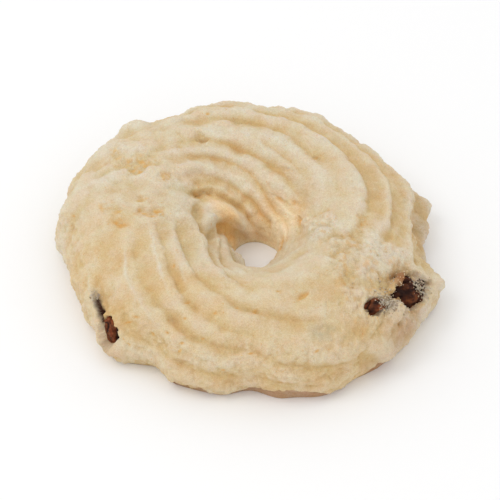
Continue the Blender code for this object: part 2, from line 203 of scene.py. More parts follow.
# Craters with steep walls: (angle, reach, half length, half width, turn in degrees, depth, orange)
CRATERS = (
    (154, 20.1, 2.4, 2, -37, 0.7, 0.9),
    (158, 25.1, 1.3, 0.9, -41, 0.5, 0.7),
    (181, 16.6, 1.8, 1, 73, 0.45, 0.8),
    (186, 22.1, 1.9, 1, -81, 0.65, 0.9),
    (190, 17.2, 1.3, 0.9, 65, 0.35, 0.8),
    (150, 15.1, 1.8, 1, 57, 0.5, 0.7),
    (177, 21.4, 0.9, 0.6, -76, 0.4, 0.7),
    (118, 22.1, 0.6, 1.3, 0, 0.8, 0.4),
    (133, 22.6, 1, 0.7, 0, 0.4, 0.4),
    (125, 20.4, 1, 0.7, 0, 0.4, 0.3),
    (148, 31.6, 1.9, 0.6, -36, 1.1, 0.7),
    (8, 31.9, 1.1, 0.4, -15, 0.6, 1.2),
    (34, 30.2, 1.4, 0.5, 0, 0.35, 0.8),
    (58, 31.4, 2, 0.25, 10, 0.3, 0.5),
    (64, 26.8, 1.8, 0.25, 20, 0.3, 0.4),
    (358, 36.6, 1.2, 1.2, 0, 0.3, 0.8),
    (48, 21.4, 0.7, 0.5, 0, 0.4, 0.8),
    (272, 16.5, 0.5, 0.35, 10, 0.5, 1.8),
    (292, 18.6, 1.3, 0.4, 30, 0.4, 0.6),
    (349, 20.4, 1.6, 0.7, 0, 0.6, 0.8),
    (339, 21, 1.5, 0.9, 0, 0.6, 0.6),
    (342, 10.1, 0.6, 0.35, 60, 0.5, 0.8),
    (358, 5, 0.6, 0.35, 0, 0.4, 0.7),
    (336, 13, 0.6, 0.4, 40, 0.6, 0.9),
    (330, 11.6, 2, 1, -36, 0.6, 0.2),
)
CRATER_SHARPNESS = 2.5
CRATER_EDGE = (("waves", 1.1, 41, 0.5), ("waves", 0.5, 42, 0.4))
# How deep a crater's floor is, as a share of its depth, and the crumb on it
CRATER_FLOOR = 0.75
CRATER_CRUMB = (("cells", 0.7, 46, 0.5),)
# The lip round a crater: (shares of its size from its middle, half width, share of its depth)
CRATER_LIP = (1.5, 0.5, 0.1)
MOST_ORANGE = 1.4
# Orange slits and pinholes: (angle, reach, half length, turn in degrees)
SLITS = (
    (228, 8.6, 0.6, 40), (230, 10.1, 0.55, 15), (237, 8.2, 0.4, -30), (231, 5.5, 0.35, 0),
    (248, 8.1, 0.4, 60), (242, 9.8, 0.25, 0), (248, 9.4, 0.3, 20), (244, 15.8, 0.35, 50),
    (246, 13.2, 0.25, 0), (256, 15.2, 0.3, 0), (254, 10.9, 0.25, 30), (264, 16.9, 0.25, 0),
    (227, 20.4, 0.35, -40), (178, 10.3, 0.25, 0), (108, 16.6, 0.3, 0), (270, 9, 0.4, 10),
    (262, 6.4, 0.35, -20), (290, 9.6, 0.35, 15), (282, 20, 0.3, 0),
)
SLIT_WIDTH = 0.16
SLIT_RAGGED = 0.5
# Where the dough is cracked open beside the left fruit: (angle, reach, half length and width, turn)
CRACK = (216.6, 6.9, 2, 0.42, -28)
CRACK_DEPTH = 0.9
# The crack is painted dark, as the shade deep inside it
CRACK_DARKNESS = 1.9

# Where the top is torn open: for each reach, the angles between which the crumb shows
TORN_REACH = (5, 8, 11, 14, 17, 20, 23.5, 26, 31, 33)
TORN_FROM = (-46, -54, -62, -66, -64, -58, -48, -38, -18, -10)
TORN_TO = (-31, -26, -19, -20, -20, -22, -17, 1, 4, 0)
TORN_MIDDLE = -30
# Degrees over which the tear comes in and ends, and by which its edge wanders
TORN_FADE = 14
TORN_EDGE = 7
TORN_WANDER = (("waves", 2.6, 71, 4), ("waves", 0.9, 72, 1.5))
# Where along the reach a zone begins or ends, and over how many millimetres
TORN_BEGINS = (4.5, 3)
TORN_ENDS = (33.5, 4)
FLANK_ENDS = (15, 7)
RIM_BEGINS = (33, 5)
# The lumpy seam where the rope of dough joins: its angle and half width in degrees
SEAM_ANGLES = (152, 46)
SEAM_BEGINS = (6, 6)
SEAM_ENDS = (36, 6)

# Fine relief of each zone: (noise, millimetres across a lump, seed, millimetres out)
FINE_LAYERS = {
    "all": (
        ("cells", 1.5, 31, 0.14),
        ("cells", 0.7, 35, 0.08),
        ("waves", 0.36, 37, 0.05),
        ("clouds", 3.8, 21, 0.34),
        ("clouds", 1.2, 24, 0.06),
    ),
    "flank": (
        ("cells", 2.3, 27, 0.34),
        ("clouds", 1.7, 28, 0.16),
        ("cells", 0.9, 29, 0.34),
        ("waves", 0.45, 30, 0.12),
    ),
    "rim": (("cells", 1.8, 47, 0.36), ("cells", 0.8, 48, 0.16)),
    "seam": (("clouds", 4.5, 51, 0.5), ("cells", 3.6, 55, 0.6), ("cells", 1.9, 57, 0.34)),
    "torn": (
        ("cells", 1.9, 61, 0.66),
        ("cells", 0.9, 65, 0.38),
        ("clouds", 3.2, 68, 0.4),
        ("cells", 0.5, 66, 0.18),
    ),
}

# Dried fruit: (name, angle, reach, millimetres out, half sizes along, up and out, turn in degrees,
# how reddish)
FRUIT = (
    ("raisin_right", 331, 8.6, -1.9, (3.9, 2.9, 2.3), -29, 0),
    ("raisin_small", 315, 11.8, -0.9, (1.8, 1.3, 1.2), -11, 1.1),
    ("raisin_left", 223, 5.2, -0.8, (1.9, 1.5, 1.4), -38, 0.8),
)
FRUIT_DETAIL = 6
# Folds of a piece of fruit: (folds round it, share of its size, turn from one piece to the next)
MAIN_FOLDS = (3, 0.07, 2.1)
SMALL_FOLDS = (5, 0.05, -1.3)
# How its noise is squeezed, so that wrinkles run along it, and how they wander: (millimetres across a
# lump, seed, millimetres)
WRINKLE_SQUEEZE = (0.55, 1, 1)
WRINKLE_WANDER = (1.6, 300, 0.6)
# Deep and thin wrinkles: (millimetres across, seed, share of the noise, millimetres deep, darkness of
# the painted shade in them)
WRINKLES = ((1.3, 310, 0.2, 0.24, 1), (0.6, 320, 0.25, 0.12, 0.6))
# Lumps and red patches: (millimetres across, seed, millimetres out or change in redness)
FRUIT_LUMPS = (1.5, 330, 0.34)
RED_PATCHES = (1.3, 340, 0.45)
FRUIT_SWELL = 0.1
# How far the dough dips under the fruit inside its opening, covers it beyond, and lies at the deepest
POCKET_GAP = 0.9
POCKET_COVER = 0.5
POCKET_DEPTH = 2.1
# The opening over each piece: (how square, from 1 for a diamond to 4 for nearly a box, how it leans)
POCKET_FORMS = ((1.25, 0.3), (1.8, 0), (3.5, -0.2))
POCKET_EDGE = (("waves", 1.5, 43, 0.4), ("waves", 0.6, 44, 0.3))
POCKET_RAGGED = 0.55
COVER_CRUMB = (("cells", 0.8, 67, 0.3),)
# An opening is shut this many half sizes above or below its fruit
POCKET_HEIGHT = 1.5
# How much taller than its oval the lumps of a piece of fruit reach, and, squared, how much wider
FRUIT_TALLER = 1.1
FRUIT_SPREAD = 1.4
# Where the dip, the stain with its painted shade in the opening, and the dough over the fruit's rim
# end, in shares of the opening's size
DIP_ENDS = (1.18, 0.16)
STAIN_AND_SHADE_ENDS = (1.22, 0.3)
COVER_ENDS = (1.7, 0.3)

# Loose crumbs: (number, smallest and largest half size in millimetres, how rare the large ones are)
DOUGH_CRUMBS = (240, 0.08, 0.2, 2.5)
PALE_CRUMBS = (900, 0.07, 0.22, 1.5)
# How thick dough crumbs lie on the torn patch, how much thicker beside the fruit there, and where
# that is, in shares of the opening's size
TORN_CRUMBS = 0.35
EDGE_CRUMBS = 1.4
EDGE_BEGINS = (0.9, 0.3)
EDGE_ENDS = (1.9, 0.7)
# Pale crumbs lie on dough that isn't hidden under the fruit
BARE_BEGINS = (0.85, 0.2)
# How many square millimetres of dough one point of the fruit counts for, and how far up it they start
FRUIT_CRUMB_SHARE = 0.004
FRUIT_CRUMB_UP = 0.1
# How uneven, how squashed and how far out of the surface a crumb is, as shares of its half size
CRUMB_UNEVEN = (0.72, 1.2)
CRUMB_SQUASH = (0.6, 1.25)
CRUMB_OUT = 0.15
CRUMB_SEED = 7
# Where the pale crumbs lie thickest: (angle, reach, half width in millimetres, share of them)
PALE_CLUSTERS = (
    (319.2, 10.7, 1.25, 0.66),
    (334, 7.9, 1.1, 0.18),
    (325, 12.4, 2.2, 0.03),
    (212.5, 8.2, 0.65, 0.04),
)

# Walls under an overhanging lip at the foot, brown partly from baking and partly painted shade under
# the lip: (angle, half width in degrees, millimetres high)
LIPS = ((281, 24, 2.6), (311, 7, 2.4), (248, 4, 1.6), (256, 5, 1.4), (0, 22, 1.2), (340, 12, 0.8))
LIP_DEPTH = 0.6
LIP_EDGE = 0.35
LIP_WANDER = (("clouds", 1.6, 91, 0.35),)
# Share of the fine relief that the lip's wall is without
LIP_SMOOTHNESS = 0.4

# The flank is warmer towards the front: the middle angle, the half width and the fade in degrees
WARM_ANGLE = 250
WARM_HALF_WIDTH = 78
WARM_FADE = 25
WARM_ENDS = (27, 9)
# The hole's wall is a warmer tan, partly its own baked colour and partly painted warm shade, and
# painted bounce light brightens it where it gets light back from across: (angle, half width in degrees,
# strength)
HOLE_WARMTH = ((70, 60, 0.35), (0, 34, 0.4), (152, 34, 0.9), (330, 30, 0.4))
# Painted bounce light on the hole's wall: (angle, half width in degrees, strength)
BOUNCE_LIGHTS = ((70, 125, 0.5), (28, 45, 0.6), (150, 25, 0.3))
DEEP_BEGINS = (32, 5)
BOUNCE_LIGHT_BEGINS = (27, 8)
# The creases at the back are orange along their bottoms: the angle and half width in degrees, and how
# orange they are
CREASE_ANGLES = (85, 80)
CREASE_BEGINS = (20, 6)
CREASE_ORANGE = 0.4
# The valleys' colour, painted warm shade in the furrows and hollows: how deep it is full, its limit,
# how much a hollow counts, what the front lacks
VALLEY_DEPTH = 0.9
MOST_VALLEY = 1.2
HOLLOW_SHARE = 0.7
FRONT_SHARE = 0.6
# The pale lip, partly a painted highlight, shows in these angles, as (middle, half width) in degrees,
# and up to this reach
PALE_ANGLES = (214, 34)
PALE_ENDS = (24, 5)
PALE_STRENGTH = 0.9
# How many rows and columns of the mesh the relief is smoothed over, to tell crests from valleys
TONE_BLUR = (12, 9)
TONE_RANGE = (-0.35, 0.22)

# Uneven strength of a colour: (millimetres across a patch, seed, middle, change, limit)
MOTTLES = {
    "patchy": (4, 95, 0.75, 0.35, 2),
    "grey": (1.2, 97, 0.6, 0.8, 1),
    "stain_and_shade": (0.9, 99, 0.5, 0.9, 1),
    "crater": (0.7, 45, 0.35, 1.3, 1.1),
    "speckles": (0.7, 75, -0.45, 1.3, 0.4),
}
# Spots of colour: (angle, reach, half width in degrees, half width in millimetres, strength)
# Brown spots: mostly painted shade on the lower flank and in the recess over the right fruit, with some
# baked browning
BROWN_AND_SHADE_PATCHES = (
    (330, 11.5, 6, 2.2, 1.5),
    (4, 4, 24, 6, 0.3),
    (320, 5.4, 15, 5, 0.8),
    (226, 3.4, 7, 3, 0.35),
    (308, 3.6, 8, 2.2, 0.5),
)
# Stains round the fruit: partly a real stain from the fruit, partly painted shade in the pockets and in
# the recess over the right fruit
FRUIT_STAINS_AND_SHADE = ((330, 11.5, 6, 2.2, 0.9), (318.5, 10.9, 5, 1.9, 0.6))
GREY_PATCHES = (
    (294, 12.2, 7, 2.4, 1),
    (300, 10.6, 5, 1.8, 0.5),
    (212, 8.3, 4, 1.8, 1),
    (318, 11.1, 5, 2, 0.8),
    (8, 4, 18, 5, 0.4),
)

# Colours, as red, green and blue from 0 to 255
# The valleys are yellower than the crests: partly the dough's own colour, partly painted warm shade in
# the valleys
CREST = (226, 219, 199)
VALLEY_AND_SHADE = (217, 201, 163)
PIT = (224, 184, 116)
PALE_AND_HIGHLIGHT = (226, 221, 202)
CRACK_SHADE = (62, 34, 18)
DOUGH_CRUMB_COLOURS = ((220, 196, 152), (232, 220, 192))
PALE_CRUMB_COLOURS = ((170, 154, 132), (224, 216, 198))
DARK_FRUIT = ((46, 14, 0), (96, 49, 18))
RED_FRUIT = ((112, 50, 22), (160, 92, 54))
WRINKLE_SHADE = (36, 12, 2)

# How the dough's colour changes by region: (region, red, green and blue that it is multiplied by)
REGION_TINTS = (
    # painted warm shade in the valleys
    ("valley_shade", (0.98, 0.912, 0.805)),
    ("warm", (0.99, 0.893, 0.735)),
    # painted bounce light, brightening the hole's wall
    ("bounce_light", (1.36, 1.33, 1.3)),
    # the hole's wall: partly its own baked tan, partly painted warm shade down in the hole
    ("deep", (1.06, 0.86, 0.58)),
    # brown: partly baked, partly painted shade under the lip, on the lower flank and over the right
    # fruit
    ("brown_and_shade", (0.73, 0.59, 0.58)),
    ("grey", (0.74, 0.78, 0.82)),
    # stain round the fruit, partly painted shade in its pockets
    ("stain_and_shade", (0.62, 0.47, 0.4)),
)

# Grain and blotches of the dough: (per metre, detail, noise from and to, red, green and blue)
GRAIN = (
    (6400, 0, 0.35, 0.65, (0.91, 0.88, 0.84)),
    (2900, 2, 0.35, 0.65, (0.98, 0.94, 0.89)),
    (900, 2, 0.35, 0.65, (0.995, 0.975, 0.95)),
    (230, 2, 0.4, 0.62, (0.99, 0.94, 0.87)),
    (420, 1, 0.42, 0.62, (1, 0.96, 0.97)),
    (2400, 1, 0.7, 0.77, (0.97, 0.8, 0.62)),
)
# The fruit's blotches and its roughness: (per metre, detail, noise from and to, value from and to)
FRUIT_BLOTCHES = (1200, 4, 0.4, 0.62)
FRUIT_SHINE = (1800, 3, 0.3, 0.7, 0.45, 0.8)
NOISE_ROUGHNESS = 0.6
# Bump: (per metre, detail, strength, metres)
DOUGH_BUMP = (3600, 3, 0.8, 0.26 * MM)
FRUIT_BUMP = (2600, 3, 0.6, 0.16 * MM)
DOUGH_SURFACE = {
    "Roughness": 0.85,
    "Specular IOR Level": 0.2,
    "Subsurface Weight": 0.2,
    "Subsurface Radius": (1, 0.6, 0.3),
    "Subsurface Scale": 1.4 * MM,
}
FRUIT_SURFACE = {
    "Specular IOR Level": 0.16,
    "Subsurface Weight": 0.1,
    "Subsurface Radius": (1, 0.35, 0.2),
    "Subsurface Scale": 0.6 * MM,
}
FLOOR_SURFACE = {"Base Color": (0.93, 0.93, 0.93, 1), "Roughness": 0.9}

# The mesh lines drift with the ridges: (angle, millimetres towards the hole)
MESH_DRIFT = ((-20, 6.4), (140, -6.4), (196, 6.9), (300, -6.9), (340, 6.4), (500, -6.4))
RING_STEPS = 900
TOP_STEPS = 216
BASE_STEPS = 4
# The section's slope is taken between points this share of its length before and after
SLOPE_STEP = 0.02
# The relief comes in over this share of the bulge's height, at the foot and at the hole
FOOT_SHARE = 0.25

# The camera, the light and the floor, in degrees and metres, and the aim's height in millimetres
CAMERA_TILT = 45
CAMERA_DISTANCE = 0.4
CAMERA_LENS = 182.9
CAMERA_SENSOR = 36
CAMERA_CLIP = (0.01, 10)
AIM_HEIGHT = 2.8
KEY_PLACE = (-0.28, -0.05, 0.45)
KEY_SIZE = 0.25
KEY_POWER = 0.5
SKY_STRENGTH = 0.95
FLOOR_SIZE = 1.6
FLOOR_DROP = 0.02 * MM

# Numbers that mix the bits of a cell's place and a seed, for noise
CELL_MIXERS = (374761393, 668265263, 2147483647)
SEED_MIXER = 144269
BIT_MIXERS = ((13, 1274126177), (16, 2246822519))
LAST_SHIFT = 15
ALL_BITS = 0xFFFFFFFF
LOW_BITS = 0xFFFFFF
OCTAVES = 3
CRUMB_TOP = 0.3
FAR = 9.0


# -------- helpers
def smooth(values):
    values = np.clip(values, 0.0, 1.0)
    return values * values * (3 - 2 * values)


def begins(values, start, over):
    """0 up to start, 1 from this much later on."""
    return smooth((values - start) / over)


def ends(values, end, over):
    """0 from the end on, 1 until this much before it."""
    return smooth((end - values) / over)


def bell(away):
    return np.exp(-(away**2))


def turned(angles, centre):
    """Degrees from centre, between -180 and 180."""
    return (angles - centre + 180) % 360 - 180


def hump(away):
    """1 at 0, falling smoothly to 0 at -1 and 1."""
    return 0.5 + 0.5 * np.cos(np.pi * np.clip(away, -1, 1))


def window(angles, centre, half_width):
    return hump(turned(angles, centre) / half_width)


def hashed(cells, seed):
    """A repeatable random number from -1 to 1 for each whole-number cell."""
    mixed = sum(cells[..., axis] * mixer for axis, mixer in enumerate(CELL_MIXERS))
    mixed = (mixed + seed * SEED_MIXER) & ALL_BITS
    for shift, mixer in BIT_MIXERS:
        mixed = ((mixed ^ (mixed >> shift)) * mixer) & ALL_BITS
    return ((mixed ^ (mixed >> LAST_SHIFT)) & LOW_BITS) / (LOW_BITS // 2) - 1.0


def value_noise(points, size, seed):
    """Smooth noise from -1 to 1 whose lumps are about size across."""
    scaled = points / size
    cell = np.floor(scaled).astype(np.int64)
    part = smooth(scaled - cell)
    total = 0.0
    for corner in np.ndindex(2, 2, 2):
        weight = np.prod(np.where(corner, part, 1 - part), axis=-1)
        total = total + weight * hashed(cell + np.array(corner), seed)
    return total


def fractal(points, size, seed):
    """Smooth noise of lumps about size across with smaller ones on them."""
    total = 0.0
    for octave in range(OCTAVES):
        total = total + value_noise(points, size / 2**octave, seed + octave) / 2**octave
    return total


def crumb_cells(points, size, seed):
    """Rounded lumps about size across with creases between them, from about -0.5 to 0.3."""
    scaled = points / size
    cell = np.floor(scaled).astype(np.int64)
    best = np.full(points.shape[:-1], FAR)
    for corner in np.ndindex(3, 3, 3):
        near = cell + np.array(corner) - 1
        spot = np.stack([0.5 + 0.5 * hashed(near, seed + axis) for axis in range(3)], axis=-1)
        best = np.minimum(best, np.sum((near + spot - scaled) ** 2, axis=-1))
    return CRUMB_TOP - best


NOISES = {"waves": value_noise, "clouds": fractal, "cells": crumb_cells}


def layered(points, layers):
    """The sum of some layers of noise: (noise, millimetres across a lump, seed, size)."""
    return sum(size * NOISES[noise](points, wide, seed) for noise, wide, seed, size in layers)


def mottled(points, kind):
    """The uneven strength of a colour at these points, from 0 to its limit."""
    size, seed, middle, change, limit = MOTTLES[kind]
    return np.clip(middle + change * fractal(points, size, seed), 0, limit)


def blurred(values, rows_wide, columns_wide):
    """values, closed round the rows, smoothed over this many rows and columns."""
    both = np.concatenate([values, values[:, ::-1]], axis=1)
    row = np.fft.fftfreq(both.shape[0])[:, None] * rows_wide
    column = np.fft.rfftfreq(both.shape[1])[None, :] * columns_wide
    kept = np.exp(-2 * (np.pi**2) * (row**2 + column**2))
    return np.fft.irfft2(np.fft.rfft2(both) * kept, both.shape)[:, : values.shape[1]]


# -------- the ring's section
def outer_radius(angle):
    lobes = sum(size * np.cos(np.radians(count * (angle - at))) for count, size, at in OUTLINE_LOBES)
    return RING_RADIUS + lobes


def hole_radius(angle):
    turn = np.radians(angle)
    half_x, half_y = HOLE_HALF_SIZE
    swells = sum(size * window(angle, at, wide) for at, wide, size in HOLE_SWELLS)
    return 1 / np.hypot(np.cos(turn) / half_x, np.sin(turn) / half_y) + swells


def foot_swell(angle, reach):
    """How far the flank and its shelves stand out here."""
    swells = sum(size * window(angle, at, wide) for at, wide, size in FOOT_SWELLS)
    total = swells * hump(reach / SWELL_REACH)
    for at, wide, size, edge, fades in SHELVES:
        total = total + size * window(angle, at, wide) * smooth((edge - reach) / fades + 0.5)
    return total


def section(angle):
    """The smooth section at this angle: inwards from the outer foot, up, and reach."""
    width = outer_radius(angle) - hole_radius(angle)
    height = ROPE_HEIGHT + sum(size * window(angle, at, wide) for at, wide, size in HEIGHT_SWELLS)
    outer = width * CREST_SHARE
    inner = width - outer
    left_at, left_wide, more = LEFT_FULLNESS
    fullness = INNER_FULLNESS + BACK_FULLNESS * math.sin(math.radians(angle))
    fullness = fullness + more * window(angle, left_at, left_wide)
    outer_power = 2 / OUTER_FULLNESS
    inner_power = 2 / fullness
    foot = np.linspace(0, 1, FOOT_POINTS)[:-1]
    quarter = np.linspace(0, math.pi / 2, QUARTER_POINTS)[:-1]
    rise = np.clip(np.sin(quarter), 0, 1)
    fall = np.clip(np.cos(quarter), 0, 1)
    throat = np.linspace(1, 0, THROAT_POINTS)
    inwards = np.concatenate(
        [
            FOOT_INSET * (1 - np.sin(foot * math.pi / 2)),
            outer * (1 - fall**outer_power),
            outer + inner * rise**inner_power,
            np.full(THROAT_POINTS, width),
        ]
    )
    up = np.concatenate(
        [
            BULGE_HEIGHT * foot,
            BULGE_HEIGHT + (height - BULGE_HEIGHT) * rise**outer_power,
            THROAT_HEIGHT + (height - THROAT_HEIGHT) * fall**inner_power,
            THROAT_HEIGHT * throat,
        ]
    )
    reach = np.concatenate([[0], np.cumsum(np.hypot(np.diff(inwards), np.diff(up)))])
    return inwards, up, reach


def place(angle, inwards, height):
    """Positions, in millimetres, of points this far in from the outer foot and this high."""
    radius = outer_radius(angle) - inwards
    share = np.clip(inwards / (outer_radius(angle) - hole_radius(angle)), 0, 1)
    turn = np.radians(angle)
    x = RING_CENTRE[0] + radius * np.cos(turn) + HOLE_OFFSET[0] * share
    y = RING_CENTRE[1] + radius * np.sin(turn) + HOLE_OFFSET[1] * share
    return np.stack([x, y, height + 0 * x], axis=-1)


# -------- relief of the dough
def torn_share(angle, reach, points):
    """1 where the top is torn open and the crumb shows, 0 where its skin is whole."""
    about = turned(angle, TORN_MIDDLE) + TORN_MIDDLE + layered(points, TORN_WANDER)
    low = np.interp(reach, TORN_REACH, TORN_FROM)
    high = np.interp(reach, TORN_REACH, TORN_TO)
    inside = smooth((about - low) / TORN_FADE) * smooth((high - about) / TORN_EDGE + 0.5)
    return inside * begins(reach, *TORN_BEGINS) * ends(reach, *TORN_ENDS)


def furrow_relief(angle, reach, points):
    """How far the ridges and furrows move the skin out, and how strong creases and pale lips are."""
    reach = reach + layered(points, WARP)
    change = np.clip(1 + layered(points, DEPTH_CHANGE), LEAST_DEPTH, None)
    # The wall that faces right, seen from the front, is the steeper one.
    facing = np.cos(np.radians(angle))
    lip_at, lip_wide = PALE_LIP
    total = 0.0
    ridged = 0.0
    steps = 0.0
    crease = 0.0
    pale = 0.0
    for width, line in FURROWS:
        angles, reaches, depths = (np.array(column, float) for column in zip(*sorted(line)))
        middle = (angles[0] + angles[-1]) / 2
        about = turned(angle, middle) + middle
        depth = np.interp(about, angles, depths, left=0, right=0)
        away = (reach - np.interp(about, angles, reaches)) / width
        side = away * facing
        away = np.abs(away) * (1 + FURROW_LEAN * facing * np.sign(away))
        form = sum(part * np.exp(-((away / wide) ** sharp)) for part, wide, sharp in FURROW_FORMS)
        total = total + (depth * FURROW_DEPTH * form) ** FURROW_BLEND
        ridged = np.maximum(ridged, np.minimum(depth, 1) * bell(away / RIDGE_SPREAD))
        steps = steps + depth * side * bell(away / STEP_SPREAD)
        crease = np.maximum(crease, depth * bell(away / CREASE_WIDTH))
        pale = np.maximum(pale, depth * bell((side - lip_at) / lip_wide))
    relief = ridged * RIDGE_LIFT + FURROW_STEP * steps - change * total ** (1 / FURROW_BLEND)
    return relief, crease, pale * change


def spot_share(angle, reach, radius, spot):
    """0 in the middle of a turned oval spot, 1 at its edge, more beyond it."""
    at, far, half_length, half_width, turn = spot
    along = np.radians(turned(angle, at)) * radius
    across = reach - far
    spin = math.radians(turn)
    first = (along * math.cos(spin) + across * math.sin(spin)) / half_length
    second = (across * math.cos(spin) - along * math.sin(spin)) / half_width
    return np.hypot(first, second)


def lump_relief(angle, reach, radius):
    total = 0.0
    for *spot, size in PITS_AND_LUMPS:
        away = spot_share(angle, reach, radius, spot)
        total = total + size * np.exp(-(away**LUMP_SHARPNESS))
    return total


def crater_relief(angle, reach, radius, points):
    """Relief of the craters and slits, and how orange their floors are."""
    relief = 0.0
    orange = 0.0
    ragged = layered(points, CRATER_EDGE)
    uneven = mottled(points, "crater")
    crumbed = CRATER_FLOOR - layered(points, CRATER_CRUMB)
    lip_at, lip_wide, lip_size = CRATER_LIP
    for *spot, depth, tint in CRATERS:
        away = np.clip(spot_share(angle, reach, radius, spot) + ragged, 0, None)
        floor = np.exp(-(away**CRATER_SHARPNESS))
        relief = relief - depth * floor * crumbed
        relief = relief + depth * lip_size * bell((away - lip_at) / lip_wide)
        orange = np.maximum(orange, tint * floor * uneven)
    for at, far, half_length, turn in SLITS:
        spot = (at, far, half_length, SLIT_WIDTH, turn)
        away = spot_share(angle, reach, radius, spot) + SLIT_RAGGED * ragged
        floor = bell(np.clip(away, 0, None))
        relief = relief - SLIT_WIDTH * floor
        orange = np.maximum(orange, floor)
    return relief, np.clip(orange, 0, MOST_ORANGE)


def fruit_axes(angle, reach, out, turn):
    """Centre of a piece of fruit, and its axes along the ring, up the section and out of it."""
    inwards, up, along = section(angle)
    base, above = (
        place(angle, np.interp(at, along, inwards), np.interp(at, along, up))
        for at in (reach, reach + 1)
    )
    rise = (above - base) / np.linalg.norm(above - base)
    tangent = np.array([-math.sin(math.radians(angle)), math.cos(math.radians(angle)), 0.0])
    outwards = np.cross(tangent, rise)
    outwards /= np.linalg.norm(outwards)
    spin = math.radians(turn)
    first = tangent * math.cos(spin) + rise * math.sin(spin)
    second = np.cross(outwards, first)
    return base + outwards * out, first, second, outwards


def fruit_opening(points, ragged):
    """0 in the middle of the nearest opening, 1 at its edge, and how far its fruit stands out here."""
    nearest = np.full(points.shape[:-1], FAR)
    level = np.full(points.shape[:-1], -FAR)
    for (power, lean), (_, angle, reach, out, half_sizes, turn, _) in zip(POCKET_FORMS, FRUIT):
        centre, first, second, outwards = fruit_axes(angle, reach, out, turn)
        away = points - centre
        along = away @ first / half_sizes[0]
        across = away @ second / half_sizes[1]
        above = away @ outwards
        share = (np.abs(along - lean * across) ** power + np.abs(across) ** power) ** (1 / power)
        share = share + POCKET_RAGGED * ragged
        share = share + np.clip(np.abs(above) / half_sizes[2] - POCKET_HEIGHT, 0, None)
        dome = np.sqrt(np.clip(1 - (along**2 + across**2) / FRUIT_SPREAD, 0, 1))
        level = np.where(share < nearest, FRUIT_TALLER * half_sizes[2] * dome - above, level)
        nearest = np.minimum(nearest, share)
    return nearest, level


def lip_share(angle, reach, points):
    """1 under the lip at the foot, where the wall shows, brown partly from baking and partly painted
    shade.
    """
    height = sum(size * window(angle, at, wide) for at, wide, size in LIPS)
    height = height + np.minimum(height, 1) * layered(points, LIP_WANDER)
    return smooth((height - reach) / LIP_EDGE + 0.5)


def patches(angle, reach, spots):
    """The strongest of some soft spots: (angle, reach, half width in degrees, half width, strength)."""
    total = 0.0
    for at, far, wide, across, strength in spots:
        here = window(angle, at, wide) * hump((reach - far) / across)
        total = np.maximum(total, strength * here)
    return total


def smooth_ring():
    """The ring before its relief: rows round it, columns along its section."""
    angles = np.arange(RING_STEPS) * 360 / RING_STEPS
    shares = np.linspace(0, 1, TOP_STEPS + 1)
    shape = (RING_STEPS, TOP_STEPS + 1)
    reach, inwards, up, normal_in, normal_up, length = (np.zeros(shape) for _ in range(6))
    drift_at, drift_by = zip(*MESH_DRIFT)
    for row, angle in enumerate(angles):
        ins, ups, along = section(angle)
        drift = np.interp(angle, drift_at, drift_by)
        here = shares * along[-1] + drift * np.sin(np.pi * shares)
        step = SLOPE_STEP * along[-1]
        slope_in = np.interp(here + step, along, ins) - np.interp(here - step, along, ins)
        slope_up = np.interp(here + step, along, ups) - np.interp(here - step, along, ups)
        slope = np.hypot(slope_in, slope_up)
        reach[row] = here
        inwards[row] = np.interp(here, along, ins)
        up[row] = np.interp(here, along, ups)
        normal_in[row] = -slope_up / slope
        normal_up[row] = slope_in / slope
        length[row] = along[-1]
    angle = np.repeat(angles[:, None], TOP_STEPS + 1, axis=1)
    return angle, reach, inwards, up, normal_in, normal_up, length


def zone_shares(angle, reach, base):
    """How far each point lies in each zone of fine relief, from 0 to 1."""
    seam = window(angle, *SEAM_ANGLES) * begins(reach, *SEAM_BEGINS) * ends(reach, *SEAM_ENDS)
    return {
        "all": 1.0,
        "flank": ends(reach, *FLANK_ENDS),
        "rim": begins(reach, *RIM_BEGINS),
        "seam": seam,
        "torn": torn_share(angle, reach, base),
    }


